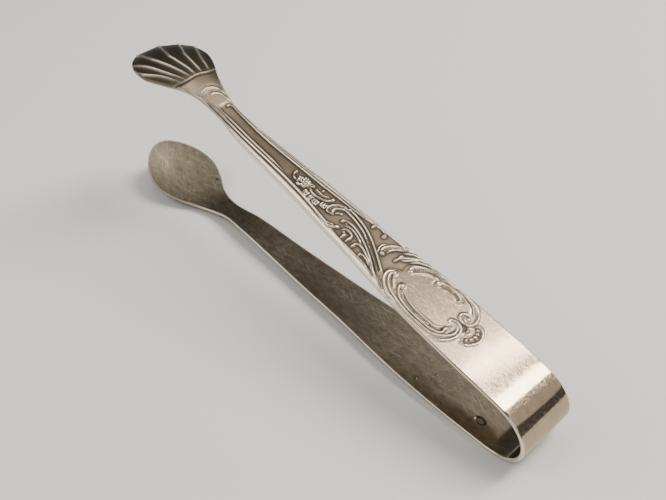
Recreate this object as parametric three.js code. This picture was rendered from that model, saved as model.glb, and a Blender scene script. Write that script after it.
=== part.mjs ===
// Ice tongs of the sprung-bow kind: one strip of silver folded over in a bow,
// with a fluted shell claw at the end of each arm.  Millimetres, +Z up.
//
// Row frame: the tongs lie as they are put down, on the lower arm.
//   +X  from the claws towards the bow (the longest way)
//   +Y  across the strip, +Z up, Z = 0 on the surface the tongs lie on
// The middle of the object's box stands over the origin.
//
// Tong frame, used while shaping: u runs from the crown of the bow towards the
// claws, n is the height off the mid-plane between the two arms, y is across.
// The lower arm is the upper arm mirrored in the mid-plane.
import * as THREE from 'three';
import { mergeVertices } from 'three/addons/utils/BufferGeometryUtils.js';

// ---------------------------------------------------------------- dimensions
const THICKNESS = 1.0;            // gauge of the strip
const STRIP_LENGTH = 154;         // from the crown to a claw's tip, along the strip
const GAP = 0.3;                  // clearance kept between neighbouring pieces
const CROWN_END = 5.05;           // where the crown ends and a shoulder begins
const SHOULDER_END = 20.5;        // where a shoulder ends and its arm begins
const CLAW_START = 125.35;        // where an arm ends and its shell begins
const REST_FLAT = 0.04;           // depth of the flats worn where the tongs lie

// Curvature of the strip's middle line, 1/mm, against the length from the crown.
const CURVE = [
  [0, 0.1602], [5, 0.1208], [10, 0.0900], [15, 0.0016], [20, 0.0017], [27, 0.0015],
  [36, 0.0003], [50, -0.0015], [70, 0.0003], [90, 0.0035], [105, -0.0123], [113, -0.0201],
  [120, 0.0081], [127, 0.0219], [134, 0.0276], [142, 0.0397], [154, 0.0411],
];
// Full width of the strip against the same length.
const WIDTH = [
  [0, 16.36], [12, 15.90], [25, 16.15], [36, 15.92], [48, 14.59], [60, 12.60], [75, 10.81],
  [90, 8.94], [105, 7.30], [113, 6.00], [119, 7.32], [125, 10.67], [131, 16.63], [138, 21.63],
  [146, 23.25], [154, 22.04],
];
const TIP_FROM = 118;             // the rounding of the shell's tip starts here
const TIP_POWER = 3.56;           // and how blunt the tip is
const DISH = 2.2;                 // how far the shell's rim curls in, at 9.3 mm off its middle
const DISH_FROM = 116;
const DISH_OVER = 12;

// Shell flutes: six ribs fan out from the shell's root, as [length, offset] points.
const RIBS = [
  [[125.6, -3.8], [130.1, -4.9], [134.0, -5.9], [139.9, -8.2], [143.0, -9.9]],
  [[125.6, -1.8], [129.8, -2.1], [132.6, -2.3], [136.4, -2.9], [142.7, -4.7], [151.0, -7.4]],
  [[125.6, 0.2], [128.9, 0.4], [133.9, 0.6], [139.3, 0.6], [145.0, -0.3], [150.5, -2.0], [154.0, -3.2]],
  [[125.6, 1.5], [128.6, 2.0], [131.2, 2.7], [135.8, 4.1], [141.6, 5.0], [149.0, 4.8], [154.0, 3.6]],
  [[125.6, 2.9], [128.9, 3.7], [131.8, 4.8], [135.6, 6.1], [139.4, 7.4], [144.0, 8.4], [149.0, 9.0]],
  [[125.6, 4.2], [128.0, 4.9], [132.1, 6.8], [136.7, 8.7], [139.4, 9.4], [142.5, 10.2]],
];
const RIB_HEIGHT = 0.42;
const RIB_WIDTH = 0.72;

// ------------------------------------------------------------------ profiles
const lerpTable = (table, t) => {
  if (t <= table[0][0]) return table[0][1];
  for (let i = 1; i < table.length; i++) {
    if (t <= table[i][0]) {
      const [a, va] = table[i - 1];
      const [b, vb] = table[i];
      return va + (vb - va) * (t - a) / (b - a);
    }
  }
  return table[table.length - 1][1];
};

// Monotone cubic through a table, so the width never overshoots between entries.
const monotone = (table) => {
  const n = table.length;
  const h = [], m = [], d = new Array(n).fill(0);
  for (let i = 0; i < n - 1; i++) {
    h.push(table[i + 1][0] - table[i][0]);
    m.push((table[i + 1][1] - table[i][1]) / h[i]);
  }
  for (let i = 1; i < n - 1; i++) {
    if (m[i - 1] * m[i] <= 0) continue;
    const w1 = 2 * h[i] + h[i - 1], w2 = h[i] + 2 * h[i - 1];
    d[i] = (w1 + w2) / (w1 / m[i - 1] + w2 / m[i]);
  }
  d[0] = m[0];
  d[n - 1] = m[n - 2];
  return (t) => {
    let i = 0;
    while (i < n - 2 && t > table[i + 1][0]) i++;
    const q = Math.min(Math.max((t - table[i][0]) / h[i], 0), 1);
    const q2 = q * q, q3 = q2 * q;
    return (2 * q3 - 3 * q2 + 1) * table[i][1] + (q3 - 2 * q2 + q) * h[i] * d[i]
      + (3 * q2 - 2 * q3) * table[i + 1][1] + (q3 - q2) * h[i] * d[i + 1];
  };
};
const widthAt = monotone(WIDTH);

// The middle line, walked from the crown in small steps.
const STEP = 0.05;
const line = [{ u: 0, n: 0, a: Math.PI / 2 }];
for (let i = 1; i <= Math.ceil(STRIP_LENGTH / STEP) + 1; i++) {
  const p = line[i - 1];
  const a = p.a - lerpTable(CURVE, (i - 0.5) * STEP) * STEP;
  const mid = (a + p.a) / 2;
  line.push({ u: p.u + Math.cos(mid) * STEP, n: p.n + Math.sin(mid) * STEP, a });
}
const onLine = (t) => {
  const f = Math.min(Math.max(t / STEP, 0), line.length - 1.001);
  const i = Math.floor(f), q = f - i;
  const mix = (k) => line[i][k] * (1 - q) + line[i + 1][k] * q;
  return { u: mix('u'), n: mix('n'), a: mix('a') };
};

const smooth = (t) => { const q = Math.min(Math.max(t, 0), 1); return q * q * (3 - 2 * q); };
const halfWidth = (t) => {
  const tip = Math.min(Math.max((t - TIP_FROM) / (STRIP_LENGTH - TIP_FROM), 0), 1);
  return widthAt(t) / 2 * Math.sqrt(Math.max(1 - tip ** TIP_POWER, 0));
};
const dishAt = (t, v) => DISH * smooth((t - DISH_FROM) / DISH_OVER) * (v / 9.3) ** 2;
const ribAt = (t, v) => {
  let high = 0;
  for (const rib of RIBS) {
    const c = lerpTable(rib, t);
    const last = rib[rib.length - 1][0];
    const run = smooth((t - 125.4) / 2.2) * (last > 153 ? 1 : 1 - smooth((t - last) / 1.5));
    high = Math.max(high, run * Math.exp(-(((v - c) / RIB_WIDTH) ** 2)));
  }
  return RIB_HEIGHT * high;
};

// A point of the strip: t along it (negative below the crown), v across, off outwards.
const inTongs = (t, v, off, side) => {
  const sg = t < 0 ? -side : side;
  const p = onLine(Math.abs(t));
  const o = off - dishAt(Math.abs(t), v);
  return { u: p.u - Math.sin(p.a) * o, n: sg * (p.n + Math.cos(p.a) * o), y: v };
};
// Both arms are struck alike, so the lower arm's shell is the upper's turned half round.
const shell = (t, v, side) => ribAt(t, side * v);

// The tongs lie on the lower shoulder and the back of the lower claw: the tilt of the
// mid-plane is the one that brings both down to the same height.
const height = (p, tilt) => p.u * Math.sin(tilt) + p.n * Math.cos(tilt);
const lowest = (from, to, tilt) => {
  let low = Infinity;
  for (let t = from; t <= to; t += 0.1) {
    const hw = halfWidth(t);
    for (let v = -hw; v <= hw; v += hw / 24) {
      low = Math.min(low, height(inTongs(t, v, THICKNESS / 2 + shell(t, v, -1), -1), tilt));
    }
  }
  return low;
};
let flatTilt = 0.05, steepTilt = 0.25;
for (let i = 0; i < 24; i++) {
  const mid = (flatTilt + steepTilt) / 2;
  if (lowest(5, 40, mid) > lowest(CLAW_START, 150, mid)) flatTilt = mid; else steepTilt = mid;
}
const TILT = (flatTilt + steepTilt) / 2;
const turn = (p) => new THREE.Vector3(-(p.u * Math.cos(TILT) - p.n * Math.sin(TILT)), -p.y, height(p, TILT));

// The reach along X and the height of what the tongs lie on give the row's origin.
let minX = Infinity, maxX = -Infinity;
for (let t = 0; t <= STRIP_LENGTH; t += 0.05) {
  for (const side of [1, -1]) {
    for (const off of [-THICKNESS / 2, THICKNESS / 2]) {
      const p = turn(inTongs(t, 0, off, side));
      minX = Math.min(minX, p.x);
      maxX = Math.max(maxX, p.x);
    }
  }
}
const shift = new THREE.Vector3(-(minX + maxX) / 2, 0, -lowest(5, 40, TILT) - REST_FLAT);
const place = (t, v, off, side) => {
  const p = turn(inTongs(t, v, off, side)).add(shift);
  if (p.z < 0) p.z = 0;
  return p;
};

// ------------------------------------------------------------------ builders
const spread = (a, b, step) => {
  const n = Math.max(1, Math.round((b - a) / step));
  return Array.from({ length: n + 1 }, (_, i) => a + (b - a) * i / n);
};

// One closed stretch of the strip: a segmented box bent along the middle line.
const stretch = (rows, columns, side, relief = () => 0) => {
  const ns = rows.length - 1, nv = columns.length - 1;
  let g = new THREE.BoxGeometry(1, 1, 1, ns, nv, 1);
  g.deleteAttribute('normal');
  g.deleteAttribute('uv');
  g = mergeVertices(g, 1e-5);
  const p = g.attributes.position;
  for (let i = 0; i < p.count; i++) {
    const t = rows[Math.round((p.getX(i) + 0.5) * ns)];
    const v = columns[Math.round((p.getY(i) + 0.5) * nv)] * halfWidth(Math.abs(t));
    const out = p.getZ(i) > 0;
    const off = out ? THICKNESS / 2 + relief(Math.abs(t), v, side) : -THICKNESS / 2;
    const q = place(t, v, off, side);
    p.setXYZ(i, q.x, q.y, q.z);
  }
  // Keep the faces pointing out whichever way the stretch was bent.
  let volume = 0;
  const idx = g.index.array;
  const A = new THREE.Vector3(), B = new THREE.Vector3(), C = new THREE.Vector3();
  for (let i = 0; i < idx.length; i += 3) {
    A.fromBufferAttribute(p, idx[i]);
    B.fromBufferAttribute(p, idx[i + 1]);
    C.fromBufferAttribute(p, idx[i + 2]);
    volume += A.dot(B.clone().cross(C)) / 6;
  }
  if (volume < 0) {
    for (let i = 0; i < idx.length; i += 3) [idx[i + 1], idx[i + 2]] = [idx[i + 2], idx[i + 1]];
  }
  g.computeVertexNormals();
  return g;
};

const silver = (color, roughness) => new THREE.MeshStandardMaterial({ color, roughness, metalness: 1 });
const tongs = new THREE.Group();
tongs.name = 'ice_tongs';
const add = (name, geometry, material, parent = tongs) => {
  const mesh = new THREE.Mesh(geometry, material);
  mesh.name = name;
  parent.add(mesh);
  return mesh;
};

// ------------------------------------------------------------------- the bow
const bow = new THREE.Group();
tongs.add(bow);
const flat = [-1, -0.5, 0, 0.5, 1];
add('bow_crown', stretch(spread(-CROWN_END + GAP / 2, CROWN_END - GAP / 2, 0.62), flat, 1),
  silver(0xb9b0a3, 0.28), bow);

const shoulderRows = spread(CROWN_END + GAP / 2, 12.6, 0.68)
  .concat([13.4, 14.2, 15.0, 16.0, 17.2, 18.6, SHOULDER_END - GAP / 2]);
add('bow_shoulder_upper', stretch(shoulderRows, flat, 1), silver(0xbdb4a6, 0.26), bow);
add('bow_shoulder_lower', stretch(shoulderRows, flat, -1), silver(0xb5ab9d, 0.30), bow);

// ------------------------------------------------------------- arms and claws
const armRows = spread(SHOULDER_END + GAP / 2, 100, 4.2)
  .concat(spread(102.5, CLAW_START - GAP / 2, 1.9));
const clawRows = spread(CLAW_START + GAP / 2, 148, 1.1)
  .concat([149, 150, 151, 151.8, 152.5, 153.1, 153.5, 153.8, 153.95]);
const clawColumns = spread(-1, 1, 1 / 13);

for (const [word, side] of [['upper', 1], ['lower', -1]]) {
  const half = new THREE.Group();
  tongs.add(half);
  add(`arm_${word}`, stretch(armRows, flat, side), silver(0xa99f8f, 0.34), half);
  add(`claw_${word}`, stretch(clawRows, clawColumns, side, shell), silver(0xa79d8d, 0.36), half);
}

export default tongs;
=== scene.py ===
import bpy
import math
import numpy as np
from mathutils import Matrix, Vector


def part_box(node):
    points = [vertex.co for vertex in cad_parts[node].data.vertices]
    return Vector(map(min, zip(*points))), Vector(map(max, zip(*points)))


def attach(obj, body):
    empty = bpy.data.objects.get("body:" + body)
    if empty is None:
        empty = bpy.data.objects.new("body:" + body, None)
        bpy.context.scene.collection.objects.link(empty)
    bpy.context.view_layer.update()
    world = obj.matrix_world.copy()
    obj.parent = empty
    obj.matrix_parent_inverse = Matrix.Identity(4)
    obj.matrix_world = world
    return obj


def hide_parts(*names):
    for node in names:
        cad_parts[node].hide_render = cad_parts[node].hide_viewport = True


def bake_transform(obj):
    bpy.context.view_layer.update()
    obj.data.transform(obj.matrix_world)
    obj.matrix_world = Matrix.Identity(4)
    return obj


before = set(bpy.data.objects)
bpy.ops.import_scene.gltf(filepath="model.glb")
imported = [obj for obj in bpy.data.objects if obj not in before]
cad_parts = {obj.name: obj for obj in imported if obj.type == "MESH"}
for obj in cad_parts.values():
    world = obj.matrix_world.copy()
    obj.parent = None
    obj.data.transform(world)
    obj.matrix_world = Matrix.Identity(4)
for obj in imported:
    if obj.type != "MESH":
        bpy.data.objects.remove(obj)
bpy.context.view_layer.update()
rng = np.random.default_rng(7)

# ------------------------------------------------------------------ the strip
# Millimetres here, metres in the meshes.  t runs along the strip from the
# crown of the bow (negative on the other arm), v across it, off outwards.
GAUGE = 1.0
LENGTH = 154.0
CROWN_END, SHOULDER_END, CLAW_START = 5.05, 20.5, 125.35
REST_FLAT = 0.04
CURVE = np.array([[0, .1602], [5, .1208], [10, .0900], [15, .0016], [20, .0017], [27, .0015],
                  [36, .0003], [50, -.0015], [70, .0003], [90, .0035], [105, -.0123], [113, -.0201],
                  [120, .0081], [127, .0219], [134, .0276], [142, .0397], [154, .0411]])
WIDTH = np.array([[0, 16.36], [12, 15.90], [25, 16.15], [36, 15.92], [48, 14.59], [60, 12.60], [75, 10.81],
                  [90, 8.94], [105, 7.30], [113, 6.00], [119, 7.32], [125, 10.67], [131, 16.63], [138, 21.63],
                  [146, 23.25], [154, 22.04]])
TIP_FROM, TIP_POWER = 118.0, 3.56
DISH, DISH_FROM, DISH_OVER = 2.2, 116.0, 12.0
CAD_RIBS = [
    [[125.6, -3.8], [130.1, -4.9], [134.0, -5.9], [139.9, -8.2], [143.0, -9.9]],
    [[125.6, -1.8], [129.8, -2.1], [132.6, -2.3], [136.4, -2.9], [142.7, -4.7], [151.0, -7.4]],
    [[125.6, .2], [128.9, .4], [133.9, .6], [139.3, .6], [145.0, -.3], [150.5, -2.0], [154.0, -3.2]],
    [[125.6, 1.5], [128.6, 2.0], [131.2, 2.7], [135.8, 4.1], [141.6, 5.0], [149.0, 4.8], [154.0, 3.6]],
    [[125.6, 2.9], [128.9, 3.7], [131.8, 4.8], [135.6, 6.1], [139.4, 7.4], [144.0, 8.4], [149.0, 9.0]],
    [[125.6, 4.2], [128.0, 4.9], [132.1, 6.8], [136.7, 8.7], [139.4, 9.4], [142.5, 10.2]]]
CAD_RIB_HEIGHT, CAD_RIB_WIDTH = .42, .72


def monotone(tb):
    x, y = tb[:, 0], tb[:, 1]
    h = np.diff(x)
    m = np.diff(y) / h
    d = np.zeros(len(x))
    for i in range(1, len(x) - 1):
        if m[i - 1] * m[i] <= 0:
            continue
        w1, w2 = 2 * h[i] + h[i - 1], h[i] + 2 * h[i - 1]
        d[i] = (w1 + w2) / (w1 / m[i - 1] + w2 / m[i])
    d[0], d[-1] = m[0], m[-1]

    def f(t):
        t = np.asarray(t, float)
        i = np.clip(np.searchsorted(x, t, side="left") - 1, 0, len(x) - 2)
        q = np.clip((t - x[i]) / h[i], 0, 1)
        q2, q3 = q * q, q * q * q
        return ((2 * q3 - 3 * q2 + 1) * y[i] + (q3 - 2 * q2 + q) * h[i] * d[i]
                + (3 * q2 - 2 * q3) * y[i + 1] + (q3 - q2) * h[i] * d[i + 1])
    return f


width_at = monotone(WIDTH)
STEP = 0.05
_t = np.arange(0, int(math.ceil(LENGTH / STEP)) + 2) * STEP
_a = np.pi / 2 - np.concatenate([[0], np.cumsum(np.interp(_t[:-1] + STEP / 2, CURVE[:, 0], CURVE[:, 1]) * STEP)])
_m = (_a[1:] + _a[:-1]) / 2
_u = np.concatenate([[0], np.cumsum(np.cos(_m) * STEP)])
_n = np.concatenate([[0], np.cumsum(np.sin(_m) * STEP)])


def smooth(q):
    q = np.clip(q, 0, 1)
    return q * q * (3 - 2 * q)


def half_width(t):
    t = np.abs(np.asarray(t, float))
    tip = np.clip((t - TIP_FROM) / (LENGTH - TIP_FROM), 0, 1)
    return width_at(t) / 2 * np.sqrt(np.clip(1 - tip ** TIP_POWER, 0, None))


def dish(t, v):
    return DISH * smooth((t - DISH_FROM) / DISH_OVER) * (v / 9.3) ** 2


def cad_rib(t, v):
    high = np.zeros(np.broadcast(t, v).shape)
    for r in CAD_RIBS:
        r = np.array(r)
        c = np.interp(t, r[:, 0], r[:, 1])
        last = r[-1, 0]
        run = smooth((t - 125.4) / 2.2) * (1 if last > 153 else 1 - smooth((t - last) / 1.5))
        high = np.maximum(high, run * np.exp(-((v - c) / CAD_RIB_WIDTH) ** 2))
    return CAD_RIB_HEIGHT * high


def in_tongs(t, v, off, side):
    t, v = np.asarray(t, float), np.asarray(v, float)
    sg = np.where(t < 0, -side, side)
    ta = np.abs(t)
    u, n, a = np.interp(ta, _t, _u), np.interp(ta, _t, _n), np.interp(ta, _t, _a)
    o = off - dish(ta, v)
    return np.stack(np.broadcast_arrays(u - np.sin(a) * o, v + 0 * u, sg * (n + np.cos(a) * o)), -1)


def lowest(t0, t1, tilt):
    t = np.arange(t0, t1 + 1e-9, .1)
    k = np.arange(49) / 24 - 1
    tt, v = t[:, None] + 0 * k[None], half_width(t)[:, None] * k[None]
    p = in_tongs(tt, v, GAUGE / 2 + cad_rib(tt, -v), -1)
    return (p[..., 0] * np.sin(tilt) + p[..., 2] * np.cos(tilt)).min()


_lo, _hi = .05, .25
for _ in range(24):
    _mid = (_lo + _hi) / 2
    if lowest(5, 40, _mid) > lowest(CLAW_START, 150, _mid):
        _lo = _mid
    else:
        _hi = _mid
TILT = (_lo + _hi) / 2


def turn(p):
    return np.stack([-(p[..., 0] * np.cos(TILT) - p[..., 2] * np.sin(TILT)), -p[..., 1],
                     p[..., 0] * np.sin(TILT) + p[..., 2] * np.cos(TILT)], -1)


_q = np.arange(0, LENGTH, .05)
_x = np.concatenate([turn(in_tongs(_q, 0 * _q, o, s))[..., 0] for s in (1, -1) for o in (-GAUGE / 2, GAUGE / 2)])
SHIFT = np.array([-(_x.min() + _x.max()) / 2, 0, -lowest(5, 40, TILT) - REST_FLAT])


def place(t, v, off, side):
    p = turn(in_tongs(t, v, off, side)) + SHIFT
    p[..., 2] = np.maximum(p[..., 2], 0.0)
    return p


# The strip's middle line has to be where the CAD has it.
_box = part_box("bow_crown")
_c = place(np.array(0.0), np.array(0.0), GAUGE / 2, 1) / 1000
assert abs(_c[0] - _box[1][0]) < 2e-4, (list(_c), list(_box[1]))

# --------------------------------------------------------------------- relief
# The struck pattern is a height field in strip coordinates, built from ridges,
# scrolls, beads, lobes and leaves.
RES = 0.06
S0, S1, VR = 18.0, 127.0, 8.7
GS = np.arange(S0, S1 + 1e-9, RES)
GV = np.arange(-VR, VR + 1e-9, RES)
relief = np.zeros((len(GS), len(GV)))
ground = np.zeros_like(relief)          # 1 where the field is cut back and stippled


def curve(points, n=None):
    """A smooth line through the points."""
    p = np.array(points, float)
    if len(p) < 3:
        k = n or 12
        return p[0] + (p[-1] - p[0]) * np.linspace(0, 1, k)[:, None]
    q = np.concatenate([[2 * p[0] - p[1]], p, [2 * p[-1] - p[-2]]])
    out = []
    for i in range(1, len(q) - 2):
        a, b, c, d = q[i - 1:i + 3]
        m = max(4, int(np.linalg.norm(c - b) / 0.18))
        t = (np.arange(m) / m)[:, None]
        out.append(.5 * (2 * b + (c - a) * t + (2 * a - 5 * b + 4 * c - d) * t ** 2 + (-a + 3 * b - 3 * c + d) * t ** 3))
    out.append(p[-1:])
    return np.concatenate(out)


def near(points, reach):
    lo, hi = points.min(0) - reach, points.max(0) + reach
    i0, i1 = np.searchsorted(GS, lo[0]), np.searchsorted(GS, hi[0])
    j0, j1 = np.searchsorted(GV, lo[1]), np.searchsorted(GV, hi[1])
    return slice(max(i0, 0), max(i1, 0)), slice(max(j0, 0), max(j1, 0))


def to_line(points, reach):
    """For the cells near a line: distance to it, share of the way along it, and which side they lie on."""
    si, sj = near(points, reach)
    s, v = np.meshgrid(GS[si], GV[sj], indexing="ij")
    best = np.full(s.shape, 1e9)
    along = np.zeros(s.shape)
    hand = np.zeros(s.shape)
    seg = np.diff(points, axis=0)
    ln = np.maximum(np.linalg.norm(seg, axis=1), 1e-9)
    cum = np.concatenate([[0], np.cumsum(ln)])
    for i in range(len(seg)):
        ds, dv = s - points[i, 0], v - points[i, 1]
        t = np.clip((ds * seg[i, 0] + dv * seg[i, 1]) / ln[i] ** 2, 0, 1)
        es, ev = ds - t * seg[i, 0], dv - t * seg[i, 1]
        d = np.hypot(es, ev)
        m = d < best
        best = np.where(m, d, best)
        along = np.where(m, (cum[i] + t * ln[i]) / cum[-1], along)
        hand = np.where(m, np.sign(seg[i, 0] * dv - seg[i, 1] * ds), hand)
    return (si, sj), best, along, hand, cum[-1]


def raise_to(where, h):
    si, sj = where
    relief[si, sj] = np.maximum(relief[si, sj], h)


def ridge(points, w=.32, h=.30, ends=(.35, .35), power=.75, base=0.0, line=None):
    """A rounded ridge along a line, w its half-width, thinning towards its ends."""
    p = curve(points) if line is None else line
    where, d, t, hand, ln = to_line(p, w * 1.3)
    k = np.minimum(ends[0] + (1 - ends[0]) * smooth(t / .18), ends[1] + (1 - ends[1]) * smooth((1 - t) / .18))
    x = d / (w * np.maximum(k, .05))
    raise_to(where, base + np.where(x < 1, h * (.4 + .6 * k) * np.clip(1 - x * x, 0, None) ** power, -9))


def knob(s, v, r=.5, h=.38, rv=None, turned=0.0, power=.6):
    """A rounded boss, as at the end of a scroll."""
    rv = rv or r
    where = near(np.array([[s, v]]), max(r, rv) * 1.1)
    ss, vv = np.meshgrid(GS[where[0]], GV[where[1]], indexing="ij")
    c, q = math.cos(turned), math.sin(turned)
    a, b = (ss - s) * c + (vv - v) * q, -(ss - s) * q + (vv - v) * c
    x = (a / r) ** 2 + (b / rv) ** 2
    raise_to(where, np.where(x < 1, h * np.clip(1 - x, 0, None) ** power, -9))


notch = np.zeros_like(relief)           # 1 on a row of beads or teeth
turns = np.zeros_like(relief)           # whole numbers at the middle of each bead or tooth


def notched(line, half, count):
    where, d, t, hand, ln = to_line(line, half + .3)
    m = smooth((half - d) / .12 + .5) * smooth(t / .03) * smooth((1 - t) / .03)
    old = notch[where]
    fresh = (m > old) | ((old == 0) & (d < half + .28))
    turns[where] = np.where(fresh, t * count - .5, turns[where])
    notch[where] = np.maximum(old, m)


def share(p, q):
    cum = np.concatenate([[0], np.cumsum(np.linalg.norm(np.diff(p, axis=0), axis=1))])
    return np.array([np.interp(q * cum[-1], cum, p[:, 0]), np.interp(q * cum[-1], cum, p[:, 1])])


def beads(points, pitch=.55, r=.25, h=.26):
    p = curve(points)
    length = np.linalg.norm(np.diff(p, axis=0), axis=1).sum()
    count = max(2, int(round(length / pitch)))
    for i in range(count):
        s, v = share(p, (i + .5) / count)
        knob(s, v, r, h, power=.5)
    notched(p, r * 1.05, count)


def teeth(outer, inner, count, w=.16, h=.24):
    """Short gadroons that cross from one line to the other."""
    a, b = curve(outer), curve(inner)
    for i in range(count):
        q = (i + .5) / count
        ridge(None, w, h, ends=(.8, .8), line=np.array([share(a, q), share(b, q)]))
    mid = np.array([(share(a, q) + share(b, q)) / 2 for q in np.linspace(0, 1, 50)])
    half = np.mean([np.linalg.norm(share(a, q) - share(b, q)) / 2 for q in np.linspace(.1, .9, 9)])
    notched(mid, half * 1.05, count)


def fill(polygon, field, value, soft=.25):
    """Sets a field inside a closed outline, with a soft edge."""
    p = curve(list(polygon) + [polygon[0]])
    where, d, t, hand, ln = to_line(p, soft * 1.5 + .3)
    si, sj = where
    s, v = np.meshgrid(GS[si], GV[sj], indexing="ij")
    inside = np.zeros(s.shape, bool)
    for a, b in zip(p[:-1], p[1:]):
        cross = ((a[1] > v) != (b[1] > v))
        with np.errstate(divide="ignore", invalid="ignore"):
            xs = (b[0] - a[0]) * (v - a[1]) / (b[1] - a[1]) + a[0]
        inside ^= cross & (s < xs)
    m = smooth(.5 + np.where(inside, d, -d) / (2 * soft))
    field[si, sj] = field[si, sj] * (1 - m) + value * m


# The field that is cut back lies between the two threads.
SS, VV = np.meshgrid(GS, GV, indexing="ij")
far_side = np.interp(SS, [50, 55, 59, 62.5, 66, 70.4, 79.6, 90, 98, 108, 113, 115.5, 117],
                     [-6.9, -6.1, -5.9, -5.3, -4.7, -4.25, -3.45, -2.9, -2.65, -2.6, -2.5, -2.2, -1.6])
near_side = np.interp(SS, [50, 54, 60, 64, 67, 70, 74.3, 79.6, 90, 98, 108, 113, 116, 117],
                      [5.6, 5.3, 4.9, 4.6, 4.3, 4.0, 3.55, 2.95, 2.3, 2.05, 2.0, 1.5, .9, .5])
ground = (smooth((VV - far_side) / .22) * smooth((near_side - VV) / .22) * smooth((SS - 52.2) / 1.5)
          * smooth((116.8 - SS) / 1.4))
fill([(46.4, -6.5), (49.5, -6.9), (54, -6.4), (54, 2.2), (52.6, 3.2), (51.6, 3.0), (51.7, 1.2), (50.6, .2), (49.3, -.6), (49.5, -3.0), (48.2, -5.0)],
     ground, 1.0)
fill([(29.6, -1.3), (30.9, -.75), (31.4, -.55), (30.1, -.25), (29.4, .5), (29.2, -.4)], ground, 1.0, .12)
relief -= .19 * ground
flat_relief = relief.copy()


def groove(points, w=.27, depth=.15, fade=.1):
    where, d, t, hand, ln = to_line(curve(points), w * 1.3)
    k = smooth(t / fade) * smooth((1 - t) / fade)
    relief[where] -= np.where(d < w, depth * k * np.clip(1 - (d / w) ** 2, 0, None), 0)


def sink(polygon, depth=.12, soft=.16):
    hole = np.zeros_like(relief)
    fill(polygon, hole, 1.0, soft)
    relief[:] -= depth * hole


# channels inside the scrolls, sunk before their ridges are raised
sink([(42.0, -6.3), (44.2, -6.3), (45.8, -5.5), (47.2, -4.4), (48.0, -3.2), (47.6, -2.5), (46.5, -3.6), (45.2, -4.7), (43.8, -5.3), (42.3, -5.6)])
sink([(36.2, -5.7), (38.0, -6.0), (40.2, -5.7), (41.2, -5.0), (40.4, -4.6), (38.2, -5.1), (36.4, -4.8)])
sink([(32.7, 3.5), (33.4, 4.7), (35.4, 5.5), (38.3, 5.6), (41.0, 5.5), (43.4, 5.1), (45.2, 4.2), (45.6, 3.0), (44.2, 3.7), (42.4, 4.4), (40.5, 4.8), (38.0, 4.9), (35.3, 4.7), (34.0, 4.2), (33.2, 3.3)])
sink([(53.4, -5.5), (54.8, -4.5), (56.0, -3.0), (56.4, -1.6), (55.9, -1.0), (55.5, -2.2), (54.8, -3.6), (53.6, -4.8)])
sink([(47.6, 4.3), (49.2, 3.3), (50.0, 2.2), (49.7, 1.9), (48.5, 3.0)])

# threads along both borders, and the grooves beside them
ridge([(65.4, -4.6), (67.5, -4.35), (70.4, -4.1), (74.3, -3.8), (79.6, -3.3), (84.8, -3.0), (90, -2.76), (98, -2.5), (108, -2.45), (112.8, -2.34),
       (114.4, -2.2), (115.2, -1.66), (115.5, -1.0)], .26, .30, ends=(.3, .9))
knob(115.4, -1.15, .34, .30, .46)
groove([(65.5, -5.2), (69, -4.75), (74.3, -4.3), (79.6, -3.8), (84.8, -3.48), (90, -3.22), (98, -2.95), (108, -2.92), (113, -2.75), (116.5, -3.1)], .27, .17)
ridge([(69.9, 4.15), (70.6, 3.9), (71.2, 3.72), (74.3, 3.4), (79.6, 2.8), (84.8, 2.4), (90, 2.15), (98, 1.9), (108, 1.86), (111.6, 2.0), (116.2, 2.3),
       (119.6, 2.75), (121.6, 3.0)], .27, .30, ends=(.8, .3))
groove([(69.5, 4.75), (74.3, 4.0), (79.6, 3.4), (84.8, 3.0), (90, 2.72), (98, 2.45), (108, 2.4), (113, 2.6), (118, 2.95), (122, 3.4)], .27, .17)
ridge([(90, 1.3), (94, 1.05), (98, .95), (104, .86), (108, .84), (112, 1.05), (115.5, 1.4)], .36, .16, ends=(.2, .3))
# the border's two arches at the neck
ridge([(115.9, -2.75), (116.6, -2.72), (118, -2.45), (119.5, -1.9), (120.4, -1.0), (120.6, 0), (120.2, .9)], .11, .17, ends=(.5, .3))
groove([(118.6, -2.75), (120.4, -2.05), (121.4, -.9), (121.6, .3), (121.2, 1.5), (120.6, 2.1)], .34, .12)
ridge([(118.9, -3.1), (120.3, -2.75), (121.6, -2.1), (122.5, -1), (122.8, .4), (122.5, 1.8), (121.9, 2.7)], .13, .19, ends=(.4, .5))
groove([(121.5, -3.0), (123.0, -1.8), (123.45, 0), (123.2, 1.6), (122.6, 2.9)], .3, .08)

# -- the small scallop on the bow side of the cartouche
ridge([(28.45, -3.74), (27.1, -3.38), (26.14, -2.43), (25.55, -1.36), (25.43, -.29), (25.79, 1.02), (26.5, 2.2), (27.45, 2.93), (28.4, 3.12)],
      .22, .30, ends=(.4, .4))
sink([(28.3, -3.2), (27.0, -2.8), (26.2, -1.6), (25.9, -.4), (26.3, 1.0), (27.2, 2.2), (28.4, 2.6), (28.9, 1.2), (28.6, -.4), (28.9, -2.2)], .10, .2)
for s_, v_, a_, b_, q_ in ((28.24, -2.9, .34, .25, .9), (27.57, -2.36, .42, .31, .75), (26.95, -1.6, .55, .36, .45), (26.74, -.6, .62, .42, .1),
                           (26.92, .5, .56, .40, -.3), (27.57, 1.5, .50, .34, -.8), (28.36, 2.1, .42, .28, -1.1)):
    knob(s_, v_, a_, .40, b_, turned=q_)
ridge([(28.5, -1.4), (28.2, -.9), (28.1, -.35), (28.3, .35), (28.7, .9)], .17, .18, ends=(.3, .3))
knob(28.9, -.4, .25, .36, .72)

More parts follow.
